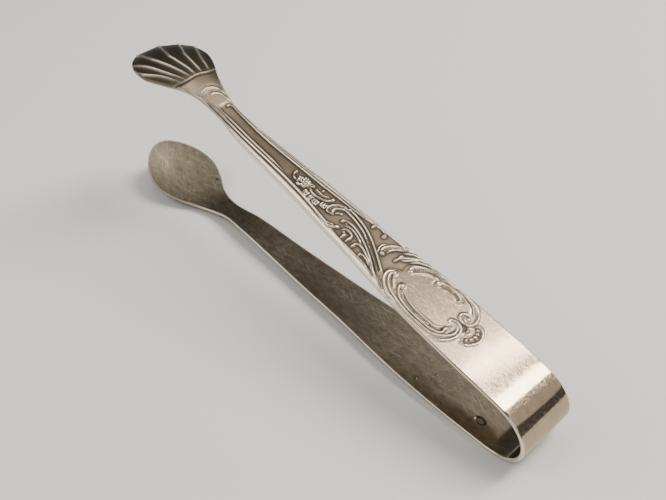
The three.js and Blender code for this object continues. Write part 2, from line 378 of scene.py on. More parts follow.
# -- cartouche: volute and far frame
vol = [(31.3, -3.1), (31.55, -2.6), (31.2, -2.1), (30.6, -2.05)]
ridge(vol, .16, .25, ends=(.5, .5))
ridge([(30.55, -3.74), (31.4, -3.85), (32.3, -3.4), (32.75, -2.45), (32.2, -1.6), (30.95, -1.3), (29.65, -1.83), (29.12, -2.9), (29.25, -4.1),
       (29.75, -5.2), (30.6, -6.2)], .27, .36, ends=(.3, .8))
knob(30.75, -2.9, .56, .42)
ridge([(29.6, -4.9), (30.6, -6.1), (31.9, -6.85), (33.6, -7.2), (36.0, -7.3), (39.0, -7.3), (42.0, -7.2), (44.0, -7.1)], .50, .30, ends=(.5, .15))
ridge([(31.15, -4.1), (31.9, -4.95), (33.0, -5.75), (34.8, -6.3), (37.3, -6.68), (40.2, -6.72), (41.6, -6.85)], .22, .25, ends=(.15, .2))
ridge([(31.7, -4.3), (32.6, -5.1), (33.7, -5.7)], .13, .18, ends=(.3, .2))
groove([(30.9, -4.2), (31.7, -5.3), (33.2, -6.3), (35.9, -6.95), (38.8, -7.0)], .22, .14)
far_c = [(40.7, -7.0), (42.6, -6.95), (44.2, -6.6), (45.9, -5.88), (47.3, -4.93), (48.25, -3.86), (48.6, -2.8), (48.25, -1.95)]
ridge(far_c, .26, .36, ends=(.2, .95))
far_in = [(42.0, -5.55), (43.8, -5.3), (45.2, -4.57), (46.3, -3.6), (47.0, -2.75)]
ridge(far_in, .19, .29, ends=(.3, .5))
teeth([(42.3, -6.8), (44.2, -6.45), (45.9, -5.7), (47.2, -4.75), (48.1, -3.7)], [(42.3, -6.05), (43.9, -5.85), (45.4, -5.1), (46.5, -4.2), (47.3, -3.3)], 15, .15, .30)
knob(47.95, -2.0, .72, .48, .46, turned=.25)
# inner far C
ridge([(35.3, -5.2), (35.9, -5.88), (37.3, -6.24), (38.8, -6.24), (40.4, -5.88), (41.6, -5.35), (42.0, -4.75), (41.7, -4.15)], .26, .34, ends=(.9, .95))
ridge([(35.9, -4.25), (36.9, -4.72), (38, -4.88), (39.2, -4.75), (40.3, -4.25)], .16, .24, ends=(.3, .4))
teeth([(37.6, -6.1), (39.2, -6.05), (41.0, -5.4)], [(37.6, -5.45), (39.2, -5.4), (40.6, -4.8)], 9, .15, .28)
knob(35.25, -4.85, .46, .48, .72, turned=-.45)
knob(41.35, -4.75, .40, .46, .80, turned=-.25)
groove([(34.4, -5.0), (34.7, -5.9), (35.6, -6.4)], .2, .10)
groove([(42.4, -5.2), (42.6, -4.4), (42.2, -3.7), (41.3, -3.6)], .22, .10)

# near outer C, from the curl at the scallop round to the curl at the stalks
ridge([(33.2, 1.1), (33.25, .35), (32.4, -.2), (31.1, -.22), (30.15, .4), (29.6, 1.5), (29.5, 2.7), (29.85, 4.1), (30.7, 5.45), (31.9, 6.45), (33.2, 7.0)],
      .30, .34, ends=(.8, .5))
ridge([(32.9, .85), (32.2, .45), (31.4, .4), (30.7, .9), (30.35, 1.8), (30.4, 2.9), (30.9, 3.9), (31.9, 5.0), (33.2, 5.95), (35, 6.45), (38.5, 6.62),
       (41.5, 6.45), (44.4, 5.95), (46.8, 5.35), (48.5, 4.55), (49.8, 3.5), (50.45, 2.2), (50.3, 1.2)], .24, .32, ends=(.6, .9))
ridge([(31.2, 2.5), (31.45, 1.95), (32.0, 1.5)], .22, .26, ends=(.4, .6))
ridge([(44.5, 6.75), (47.3, 6.25), (49.3, 5.25), (50.7, 4.0), (51.3, 2.7), (51.2, 1.6), (50.6, .85)], .32, .26, ends=(.2, .8))
groove([(31.0, 1.2), (30.9, 2.3), (31.4, 3.5)], .2, .12)
groove([(33.0, 5.3), (34.6, 6.05), (38.3, 6.25), (41.3, 6.15), (44.2, 5.6), (46.3, 4.7)], .20, .12)
knob(49.95, 1.2, .60, .46, .52, turned=.2)
ridge([(47.5, 4.0), (48.5, 3.2), (49.35, 2.25)], .16, .28, ends=(.3, .5))
teeth([(47.9, 4.45), (49.1, 3.5), (49.9, 2.4)], [(47.6, 4.1), (48.7, 3.2), (49.4, 2.3)], 6, .12, .22)
# near inner C
inner_c = [(32.2, 3.6), (32.3, 4.25), (32.85, 4.85), (33.8, 5.35), (35.4, 5.72), (38.3, 5.85), (41.1, 5.75), (43.5, 5.35), (45.2, 4.65), (46.4, 3.6), (46.9, 2.6), (46.7, 1.95)]
ridge(inner_c, .26, .36, ends=(.95, .95))
ridge([(33.2, 3.0), (34.0, 4.0), (35.4, 4.45), (38.0, 4.6), (40.5, 4.5), (42.5, 4.1), (44.2, 3.4), (45.3, 2.7)], .16, .26, ends=(.3, .5))
teeth([(35.4, 5.55), (38.3, 5.7), (41.1, 5.6), (43.5, 5.15), (45.1, 4.45), (46.0, 3.6)], [(35.5, 4.95), (38.2, 5.05), (40.8, 4.95), (42.9, 4.5), (44.4, 3.85), (45.4, 3.0)], 24, .14, .29)
knob(32.35, 3.15, .50, .50, .86, turned=-.1)
knob(46.35, 2.4, .62, .50, .74, turned=.3)

# -- acanthus on the far side
ridge([(44.9, -7.2), (46.9, -6.5), (48.3, -5.6), (49.2, -4.7), (49.8, -3.86)], .25, .34, ends=(.2, .3))
groove([(45.6, -6.75), (47.6, -5.85), (48.8, -4.6)], .16, .10)
ridge([(47.3, -7.1), (49, -6.24), (50.4, -5.05), (51.4, -3.86), (52.2, -2.8), (52.5, -1.9)], .25, .36, ends=(.2, .9))
knob(52.45, -1.65, .33, .44, .68)
ridge([(48.6, -6.0), (49.6, -5.2), (50.4, -4.1), (51.1, -3.1), (51.7, -2.6)], .17, .28, ends=(.2, .4))
ridge([(49.2, -7.0), (50.4, -6.5), (51.6, -5.6), (52.7, -4.6)], .22, .32, ends=(.2, .35))
ridge([(52.2, -4.0), (52.45, -3.4), (52.65, -2.8)], .19, .30, ends=(.4, .4))
leaf = [(51.1, -6.8), (52.6, -6.45), (54, -5.5), (55.2, -4.57), (56.1, -3.5), (56.7, -2.3), (56.65, -1.1), (56.1, -.3)]
ridge(leaf, .24, .37, ends=(.2, .95))
teeth([(52.0, -6.5), (53.8, -5.5), (55.0, -4.5), (55.95, -3.4), (56.5, -2.2), (56.4, -1.3)], [(52.0, -6.05), (53.5, -5.1), (54.6, -4.1), (55.35, -3.1), (55.8, -2.1), (55.9, -1.3)], 14, .16, .31)
ridge([(53.2, -5.2), (53.8, -4.6), (54.5, -3.8), (55.1, -2.75), (55.4, -1.6)], .21, .32, ends=(.3, .7))
ridge([(57.1, -3.3), (57.55, -2.1), (57.3, -.75), (56.7, .1)], .15, .26, ends=(.4, .5))
knob(55.8, -.5, .68, .46, .50, turned=.2)
ridge([(55.4, -6.25), (57.2, -6.3), (59.4, -6.2)], .14, .14, ends=(.2, .2))
# far hooks that run into the border
ridge([(59.25, -4.6), (59.45, -5.1), (60.1, -5.45), (61.3, -5.7), (63.0, -5.8)], .25, .32, ends=(.9, .2))
knob(59.2, -4.35, .46, .46, .62, turned=.25)
ridge([(62.9, -4.6), (63.2, -5.0), (64.0, -5.3), (65.4, -5.45), (67.5, -5.4), (70.5, -5.15), (74.3, -4.85), (79.6, -4.4), (85, -4.1)], .25, .28, ends=(.9, .1))
knob(62.9, -4.35, .44, .46, .60, turned=.25)

# -- beaded rope and stalks
ridge([(50.9, 4.0), (53.3, 2.6), (55.9, 1.05), (58.5, -.42), (61.2, -1.72), (63.8, -2.6), (66.4, -3.16), (69.05, -3.4), (70.0, -3.25)],
      .24, .36, ends=(.25, .8))
knob(69.95, -3.2, .34, .44, .44)
beads([(48.2, 6.85), (50.4, 5.52), (53.3, 3.85), (56.4, 2.02), (59.6, .42), (61.4, -.48)], .58, .28, .38)
ridge([(60.4, .1), (62.7, -1.2), (65.1, -1.84), (67.5, -2.24), (69.8, -2.37), (71.4, -2.15)], .22, .34, ends=(.2, .6))
ridge([(51.3, 5.75), (53.3, 4.85), (55.9, 3.15), (58.5, 1.75), (60.6, .8), (62.7, .05), (64.8, -.48), (66.8, -.55), (68.0, -.15), (68.6, .5)],
      .23, .33, ends=(.2, .9))
knob(68.5, .45, .38, .46, .56, turned=-.2)
beads([(66.2, .2), (67.6, .3)], .45, .17, .22)
ridge([(60.8, 1.55), (62.5, .92), (64.3, .42), (65.9, .42), (67.2, .95)], .19, .28, ends=(.2, .4))
beads([(52.4, 5.9), (53.0, 5.5), (54.3, 4.72), (55.8, 3.9)], .58, .26, .34)
ridge([(55.4, 4.0), (56.6, 3.3), (58, 2.75), (59.6, 2.2), (60.9, 2.15), (61.6, 2.85), (61.65, 3.75)], .25, .36, ends=(.3, .9))
knob(61.6, 3.6, .36, .46, .62)
ridge([(55.2, 4.6), (56.2, 3.98), (57.4, 3.62), (58.4, 3.6), (58.9, 4.2)], .20, .32, ends=(.2, .9))
knob(58.85, 4.15, .30, .38, .38)
ridge([(54.4, 5.3), (57.2, 4.95), (59.8, 4.87), (62.5, 4.75), (64.4, 4.6)], .16, .20, ends=(.2, .3))

# -- small scrolls on the near side
ridge([(63.65, 3.8), (63.5, 3.0), (63.6, 2.1), (64.2, 1.55), (65.1, 1.4), (66.1, 1.55), (66.6, 2.3)], .22, .36, ends=(.9, .7))
knob(63.6, 3.35, .32, .44, .80)
knob(65.1, 3.3, .40, .50, .98)
ridge([(65.7, 2.3), (66.1, 2.7)], .14, .24, ends=(.5, .5))
ridge([(67.8, 2.6), (68.4, 3.3), (69.2, 3.95), (70.2, 4.15)], .38, .38, ends=(1, .4))
knob(68.15, 2.95, .60, .48, .46, turned=.85)
ridge([(69.0, 2.9), (69.9, 3.4), (70.9, 3.6)], .16, .24, ends=(.4, .3))

# -- leaf scroll
ridge([(69.9, -2.95), (71.2, -2.85), (72.6, -2.2), (73.5, -1.0), (73.75, .5), (73.1, 1.35), (71.9, 1.1)], .21, .34, ends=(.3, .9))
ridge([(70.4, -2.3), (71.6, -1.6), (72.4, -.5), (72.15, .35), (71.6, .9)], .24, .36, ends=(.2, .9))
beads([(70.9, -2.6), (72.3, -1.85), (73.1, -.6), (73.1, .5)], .44, .18, .26)
ridge([(70.0, -.95), (70.9, -.35), (71.35, .35)], .18, .28, ends=(.4, .5))
knob(72.3, .1, .40, .44, .52, turned=-.5)

# -- crescent with gadroons
ridge([(74.75, -2.3), (74.9, -1.3), (75.6, -.5), (76.7, .1), (78.3, .48), (79.8, .36), (80.9, -.15), (81.3, -.8)], .32, .40, ends=(.9, .5))
knob(74.78, -2.0, .38, .48, .74)
knob(80.85, -1.2, .40, .46, .42)
ridge([(75.8, -1.9), (77.0, -1.25), (78.6, -1.05), (80.1, -1.25)], .16, .28, ends=(.3, .5))
beads([(76.3, -1.15), (77.6, -.65), (79.0, -.6), (80.0, -.85)], .40, .17, .26)
knob(78.4, -2.2, .2, .28, .42)
ridge([(81.5, -1.7), (81.85, -.8), (81.5, .3)], .15, .26, ends=(.5, .5))
for s_, v_, a_, h_ in ((74.25, .55, .25, .75), (74.85, .75, .2, .80), (75.5, 1.0, .2, .80), (76.3, 1.5, .1, .80), (76.9, 1.65, .1, .85), (77.5, 1.6, .05, .75),
                       (78.3, 1.75, 0, .85), (78.95, 1.75, 0, .85), (79.9, 1.6, -.1, .80), (80.55, 1.55, -.1, .80), (81.1, 1.35, -.1, .65)):
    knob(s_, v_, .23, .40, h_, turned=a_)
for a_, b_, v_ in ((74.1, 75.4, 1.4), (76.2, 77.6, 2.35), (78.1, 79.2, 2.5), (79.8, 81.0, 2.3)):
    ridge([(a_, v_), ((a_ + b_) / 2, v_ + .12), (b_, v_)], .17, .30, ends=(.6, .6))

# -- fruit cluster and its tendril
for s_, v_, r_ in ((82.5, -1.35, .40), (83.3, -1.5, .36), (84.0, -1.35, .36), (82.25, -.75, .40), (83.0, -.75, .40), (83.8, -.7, .40), (84.6, -.75, .38),
                   (85.2, -.55, .36), (81.95, .1, .36), (82.6, 0, .40), (83.4, .05, .42), (84.2, .05, .42), (84.9, .1, .36),
                   (82.4, .8, .42), (83.2, .85, .44), (84.7, .75, .32)):
    knob(s_, v_, r_, .47 + .05 * math.sin(7 * s_), power=.5)
knob(83.9, 1.35, .66, .44, .42)
ridge([(85.2, .75), (86.3, .5), (87.05, -.15), (87.3, -.9)], .22, .34, ends=(.3, .9))
knob(87.2, -1.05, .44, .46, .42)

# The plain oval of the cartouche stands a little proud and is smooth.
oval = smooth(1.25 - ((SS - 40.2) / 8.6) ** 2 - ((VV + .2) / 4.4) ** 2)
relief += .05 * oval * (relief < .05)

# How deep each spot lies below what is round it: there the silver keeps its dark oxide.


def blur(f, mm):
    r = max(1, int(round(mm / RES)))
    k = np.exp(-.5 * (np.arange(-2 * r, 2 * r + 1) / r) ** 2)
    k /= k.sum()
    g = np.apply_along_axis(lambda x: np.convolve(np.pad(x, 2 * r, mode="edge"), k, "valid"), 0, f)
    return np.apply_along_axis(lambda x: np.convolve(np.pad(x, 2 * r, mode="edge"), k, "valid"), 1, g)


relief = blur(.86 * relief, .06)
near_mean = blur(relief, .30)
wide_mean = blur(relief, .9)
cavity = np.clip((near_mean - relief) * 9.5, 0, 1) * .75 + np.clip((wide_mean - relief) * 5.5, 0, 1) * .42
# raised tops: they keep less oxide, and the shader paints them bright as rubbed polish and a painted highlight
raised = smooth((relief - wide_mean - .015) * 7.5)
dark = np.clip(cavity + .40 * ground * np.clip(1 - relief / .1, 0, 1), 0, 1) * (1 - .5 * raised)


def look_up(field, t, v):
    i = np.clip((np.abs(t) - S0) / RES, 0, len(GS) - 1.001)
    j = np.clip((v + VR) / RES, 0, len(GV) - 1.001)
    i0, j0 = i.astype(int), j.astype(int)
    a, b = i - i0, j - j0
    return ((field[i0, j0] * (1 - a) + field[i0 + 1, j0] * a) * (1 - b)
            + (field[i0, j0 + 1] * (1 - a) + field[i0 + 1, j0 + 1] * a) * b)


def arm_relief(t, v, side):
    """Both arms are struck from one die, so the lower arm shows the pattern turned half round."""
    on = smooth((np.abs(t) - 22.0) / 2.0)
    ta = np.abs(t)
    edge = half_width(ta) - np.abs(v)
    wide = np.interp(ta, [40, 60, 80, 100, 113, 122], [.8, 1.35, 1.45, 1.15, .9, 1.2])
    bevel = -.25 * np.clip(1 - edge / wide, 0, 1) ** 1.15 * smooth((ta - 40) / 14) * smooth((125 - ta) / 4)
    # the plain bevelled border joins the raised mask, so it is painted bright: rubbed polish and a painted highlight
    border_polish_and_highlight = .9 * smooth((wide - edge) / .25) * smooth((ta - 40) / 14) * smooth((125 - ta) / 4)
    return (look_up(relief, t, v * side) * on + bevel, look_up(dark, t, v * side) * on, np.maximum(look_up(raised, t, v * side) * on, border_polish_and_highlight),
            look_up(notch, t, v * side), look_up(turns, t, v * side))


# ---------------------------------------------------------------------- shell
SHELL_RIBS = [
    [[128.2, -4.5], [130.7, -5.15], [134.7, -6.1], [138.2, -7.5], [140.5, -8.4], [142.4, -9.6]],
    [[128.2, -2.1], [131.6, -2.35], [137.4, -2.95], [140.5, -4.15], [143.5, -5.2], [146.6, -6.8], [149.7, -8.2], [154, -10.2]],
    [[128.2, -.05], [130.5, .05], [134.7, .6], [138.5, .9], [142, .42], [145.1, -.35], [148.9, -2.1], [154, -4.2]],
    [[128.2, 1.5], [129.7, 1.95], [133.5, 3.0], [137.4, 3.95], [141.2, 4.7], [145.1, 5.0], [148.9, 4.85], [154, 3.1]],
    [[127.9, 3.2], [131.6, 4.85], [134.7, 5.9], [137.4, 6.6], [141.2, 7.5], [145.1, 8.4], [147, 8.9]],
    [[127.9, 4.6], [129.7, 5.5], [133.5, 7.1], [136.6, 8.6], [138.9, 9.5], [141.2, 9.9]]]
ROOT = 127.25


def shell_relief(t, v, side):
    """Fluted shell: sharp ribs fan out from its root, with shallow hollow flutes between them."""
    v = v * side
    hw = half_width(t)
    crest = np.zeros(np.broadcast(t, v).shape)
    cs = []
    for r in SHELL_RIBS:
        r = np.array(r)
        c = np.interp(t, r[:, 0], r[:, 1])
        run = smooth((t - ROOT - .5) / 1.8) * smooth((hw + .5 - np.abs(c)) / .5)
        w = np.interp(t, [128, 131, 138, 150], [.18, .24, .28, .31])
        crest = np.maximum(crest, run * np.exp(-np.abs((v - c) / w) ** 1.5))
        cs.append(np.clip(c, -hw, hw))
    sink = np.zeros_like(crest)
    lines = [-hw] + cs + [hw]
    for a, b in zip(lines[:-1], lines[1:]):
        inside = (v >= a) & (v <= b)
        q = np.clip((v - a) / np.maximum(b - a, .2), 0, 1)
        sink = np.where(inside, np.sin(np.pi * q) ** .8 * np.clip((b - a) / 2.6, .15, 1.0), sink)
    grow = smooth((t - ROOT - .4) / 4.0)
    h = .24 * crest - .30 * sink * grow + .10 * grow
    # its root: a cut line across the neck with a slim bead beyond it
    line = ROOT + .15 * np.cos(v * .9)
    cut = np.exp(-((t - line) / .22) ** 2) * smooth((hw - np.abs(v)) / .6)
    lip = np.exp(-((t - line - .65) / .30) ** 2)
    h = h - .16 * cut + .09 * lip + .05 * smooth((t - line) / .3)
    on = smooth((t - line + .3) / .5)
    d = np.clip(on * (.62 + .25 * sink * grow - 1.0 * crest - .3 * lip) + .9 * cut, 0, 1)
    zero = np.zeros_like(d)
    # rib crests and the root bead go out as raised, which is painted bright: rubbed polish and a painted highlight
    return h, d, np.clip(crest + .25 * lip * on, 0, 1), zero, zero


# --------------------------------------------------------------------- meshes
def rim_distance(t, v, outline_t, outline_h):
    """How far inside the shell's outline a spot lies, measured in the flat."""
    d = np.full(t.shape, 1e9)
    av = np.abs(v)
    for a, b in zip(outline_t, outline_h):
        d = np.minimum(d, np.hypot(t - a, av - b))
    return d


def fractions(hw_mean, count, fine=(0, .04, .10, .18, .28, .40)):
    """Columns across a face: close together where the edge is rounded, even elsewhere."""
    e = np.array(fine) / hw_mean
    mid = np.linspace(-1 + e[-1], 1 - e[-1], count)
    return np.concatenate([-1 + e[:-1], mid, 1 - e[:-1][::-1]])


def strip_piece(name, rows, side, out_cols, in_cols, face=None, claw=False, crown=.10, round_out=.34, round_in=.22, inner=None):
    k_out, k_in = out_cols, in_cols[::-1]
    rows = np.asarray(rows, float)
    hw = half_width(rows)
    n_out, n_in = len(k_out), len(k_in)
    m = n_out + n_in
    t = np.repeat(rows[:, None], m, 1)
    k = np.concatenate([k_out, k_in])[None, :].repeat(len(rows), 0)
    v = k * hw[:, None]
    is_out = np.zeros((len(rows), m), bool)
    is_out[:, :n_out] = True
    if claw:
        ot = np.concatenate([np.linspace(118, 150, 130), LENGTH - 4 * np.linspace(1, 0, 120) ** 2])
        dist = rim_distance(np.abs(t), v, ot, half_width(ot))
        dist = np.minimum(dist, 5)
        # the gauge thins a little towards the shell's rim
        thin = .10 * smooth((t - 128) / 10) * smooth(1 - dist / 4)
        round_out = np.where(t > 124, .42, round_out)
        round_in = np.where(t > 124, .34, round_in)
    else:
        dist = hw[:, None] * (1 - np.abs(k))
        thin = 0
    r = np.where(is_out, round_out, round_in)
    q = np.clip(r - dist, 0, None)
    edge_drop = r - np.sqrt(np.clip(r * r - q * q, 0, None))
    base = GAUGE / 2 - edge_drop - thin
    hh, dd, rr, nn, tt = (np.zeros(t.shape) for _ in range(5))
    if face is not None:
        hh, dd, rr, nn, tt = face(t, v, side)
        fade = smooth(dist / .5)
        hh = hh * fade
    hh = hh + crown * (np.clip(1 - k * k, 0, 1) - .5) * 1.0 * (0.0 if claw else 1.0)
    if inner is not None:
        # the inner face's own marks: dark knocks and punch, and on the lower claw a patch of painted shade
        sunk, stain_and_shade = inner(t, v)
        hh = np.where(is_out, hh, sunk)
        dd = np.where(is_out, dd, stain_and_shade)
    off = np.where(is_out, base + hh, -base + (hh if inner is not None else 0))
    p = place(t, v, off, side) / 1000
    verts = p.reshape(-1, 3)
    nr = len(rows)
    i = np.arange(nr - 1)[:, None] * m
    j = np.arange(m)[None, :]
    j2 = (j + 1) % m
    quads = np.stack([i + j, i + j2, i + m + j2, i + m + j], -1).reshape(-1, 4)
    mesh = bpy.data.meshes.new(name)
    # end caps: fans between the outer and the inner face
    caps = []
    for row, flip in ((0, False), (nr - 1, True)):
        ring_ = np.arange(m) + row * m
        caps.append((ring_[::-1] if not flip else ring_).tolist())
    # the winding has to face outwards
    a, b, c = verts[quads[:, 0]], verts[quads[:, 1]], verts[quads[:, 2]]
    d4 = verts[quads[:, 3]]
    vol = (np.einsum("ij,ij->i", a, np.cross(b, c)) + np.einsum("ij,ij->i", a, np.cross(c, d4))).sum()
    if vol < 0:
        quads = quads[:, ::-1]
        caps = [x[::-1] for x in caps]
    mesh.from_pydata(verts.tolist(), [], quads.tolist() + caps)
    mesh.validate()
    smooth_flags = np.ones(len(mesh.polygons), bool)
    smooth_flags[-2:] = False
    mesh.polygons.foreach_set("use_smooth", smooth_flags)
    # the end rings are sharp, so the caps don't bend the shading at a seam
    ev = np.empty(len(mesh.edges) * 2, np.int32)
    mesh.edges.foreach_get("vertices", ev)
    ev = ev.reshape(-1, 2)
    ends = ((ev < m).all(1)) | ((ev >= (nr - 1) * m).all(1))
    at = mesh.attributes.new("sharp_edge", "BOOLEAN", "EDGE")
    at.data.foreach_set("value", ends)
    for nm, val in (("dark", dd if inner is not None else np.where(is_out, dd, 0)), ("raised", np.where(is_out, rr, 0)),
                    ("outer", is_out.astype(float)), ("rim", smooth(1 - dist / .5)),
                    ("notch", np.where(is_out, nn, 0)), ("turns", np.where(is_out, tt, 0))):
        at = mesh.attributes.new(nm, "FLOAT", "POINT")
        at.data.foreach_set("value", np.ascontiguousarray(val, np.float32).ravel())
    at = mesh.attributes.new("strip", "FLOAT_VECTOR", "POINT")
    at.data.foreach_set("vector", np.stack([t * side, v, np.where(is_out, 0, 40.0)], -1).astype(np.float32).ravel())
    mesh.update()
    ob = bpy.data.objects.new(name, mesh)
    bpy.context.scene.collection.objects.link(ob)
    return ob


def punch(t, v):
    """A small blank oval punch mark inside the bow."""
    r = np.hypot((t - 17.1) / 1.35, (v - 3.5) / .85)
    return .13 * smooth((1 - r) / .3 + .5), .95 * np.exp(-((r - 1) / .22) ** 2) + .45 * smooth((1 - r) / .3)


def pits(t, v):
    """Two small knocks inside the lower claw, and a broad shallow dip in its bowl that carries a patch of painted
    shade.
    """
    a = np.hypot((t - 131.2) / .60, (v + 6.7) / .55)
    b = np.hypot((t - 130.1) / .50, (v - 6.1) / .45)
    c = np.hypot((t - 143.8 + .5 * (v + .6)) / 4.6, (v + .6) / 2.3)
    return .10 * np.exp(-a ** 2) + .09 * np.exp(-b ** 2) + .03 * np.exp(-c ** 2), .85 * np.exp(-a ** 2) + .8 * np.exp(-b ** 2) + .34 * np.exp(-c ** 2)


def nicks(t, v):
    """Knocks inside the lower arm, near the bow."""
    a = np.hypot((t - 35.3) / .50, (v - 5.5) / .42)
    b = np.hypot((t - 32.6 - .25 * (v - 1.4)) / .26, (v - 1.4) / 1.0)
    return .09 * np.exp(-a ** 2) + .07 * np.exp(-b ** 2), .9 * np.exp(-a ** 2) + .8 * np.exp(-b ** 2)


def rows_between(a, b, step):
    return np.linspace(a, b, max(2, int(round((b - a) / step)) + 1))


cols_plain = fractions(8.0, 22)
cols_arm = fractions(5.5, 98)
cols_in = fractions(6.5, 9)
crown = strip_piece("crown", rows_between(-CROWN_END, CROWN_END, .22), 1, cols_plain, cols_in)
pieces = {"crown": crown}
for word, side in (("upper", 1), ("lower", -1)):
    marked = word == "lower"
    sh = strip_piece(f"shoulder_{word}", rows_between(CROWN_END, SHOULDER_END, .16 if marked else .22), side, cols_plain,
                     fractions(8.0, 90) if marked else cols_in, inner=punch if marked else None)
    rows = np.concatenate([rows_between(SHOULDER_END, 24.5, .25)[:-1], rows_between(24.5, 90.0, .14)[:-1], rows_between(90.0, CLAW_START, .25)])
    arm = strip_piece(f"strip_{word}", rows, side, cols_arm,
                      fractions(6.5, 56) if marked else cols_in, face=arm_relief, inner=nicks if marked else None)
    crow = np.concatenate([rows_between(CLAW_START, 151.5, .16)[:-1],
                           LENGTH - .004 - 2.496 * (np.linspace(1, 0, 26) ** 2)])
    shell = strip_piece(f"shell_{word}", crow, side, fractions(9.0, 150), fractions(9.0, 44), face=shell_relief, claw=True,
                        inner=pits if marked else None)
    pieces[f"shoulder_{word}"], pieces[f"strip_{word}"], pieces[f"shell_{word}"] = sh, arm, shell

# ------------------------------------------------------------------ materials


def nodes_of(mat):
    mat.use_nodes = True
    nt = mat.node_tree
    nt.nodes.clear()
    return nt, nt.nodes, nt.links


class Graph:
    """A short way to write a node tree."""

    def __init__(self, name):
        self.mat = bpy.data.materials.new(name)
        self.nt, self.n, self.l = nodes_of(self.mat)

    def put(self, sock, value):
        if value is None:
            return
        if isinstance(value, bpy.types.NodeSocket):
            self.l.new(value, sock)
        else:
            sock.default_value = value

    def attr(self, name, vector=False):
        a = self.n.new("ShaderNodeAttribute")
        a.attribute_name = name
        return a.outputs["Vector" if vector else "Fac"]

    def math(self, op, a, b=None, c=None, clamp=False):
        m = self.n.new("ShaderNodeMath")
        m.operation = op
        m.use_clamp = clamp
        for i, x in enumerate((a, b, c)):
            if x is not None:
                self.put(m.inputs[i], x)
        return m.outputs[0]

    def scale(self, vec, s):
        m = self.n.new("ShaderNodeVectorMath")
        m.operation = "MULTIPLY"
        self.put(m.inputs[0], vec)
        m.inputs[1].default_value = s
        return m.outputs[0]

    def noise(self, vec, scale, detail=3, rough=.5, distortion=0):
        t = self.n.new("ShaderNodeTexNoise")
        self.put(t.inputs["Vector"], vec)
        t.inputs["Scale"].default_value = scale
        t.inputs["Detail"].default_value = detail
        t.inputs["Roughness"].default_value = rough
        t.inputs["Distortion"].default_value = distortion
        return t.outputs["Fac"]

    def voronoi(self, vec, scale, feature="F1"):
        t = self.n.new("ShaderNodeTexVoronoi")
        t.feature = feature
        self.put(t.inputs["Vector"], vec)
        t.inputs["Scale"].default_value = scale
        return t.outputs["Distance"]

    def remap(self, x, a, b, c=0.0, d=1.0, smoothstep=True):
        m = self.n.new("ShaderNodeMapRange")
        m.interpolation_type = "SMOOTHSTEP" if smoothstep else "LINEAR"
        self.put(m.inputs["Value"], x)
        for nm, val in (("From Min", a), ("From Max", b), ("To Min", c), ("To Max", d)):
            m.inputs[nm].default_value = val
        return m.outputs["Result"]

    def mix(self, f, a, b):
        m = self.n.new("ShaderNodeMix")
        m.data_type = "RGBA"
        self.put(m.inputs[0], f)
        self.put(m.inputs[6], a)
        self.put(m.inputs[7], b)
        return m.outputs[2]

    def bump(self, height, strength, distance, normal=None):
        b = self.n.new("ShaderNodeBump")
        b.inputs["Strength"].default_value = strength
        b.inputs["Distance"].default_value = distance
        self.put(b.inputs["Height"], height)
        if normal is not None:
            self.l.new(normal, b.inputs["Normal"])
        return b.outputs["Normal"]

    def finish(self, color, rough, normal):
        p = self.n.new("ShaderNodeBsdfPrincipled")
        self.put(p.inputs["Base Color"], color)
        p.inputs["Metallic"].default_value = 1.0
        self.put(p.inputs["Roughness"], rough)
        self.put(p.inputs["Normal"], normal)
        o = self.n.new("ShaderNodeOutputMaterial")
        self.l.new(p.outputs[0], o.inputs[0])
        return self.mat


# bright polish painted on raised relief, rib crests and edges: partly rubbed wear, partly a painted highlight
POLISH_AND_HIGHLIGHT = (.95, .835, .67, 1)
SATIN = (.43, .335, .228, 1)
WARM = (.27, .218, .155, 1)
# painted shade: the colour given to the inner faces, darker than the outsides
INSIDE_SHADE = (.215, .185, .135, 1)
OXIDE = (.050, .042, .033, 1)


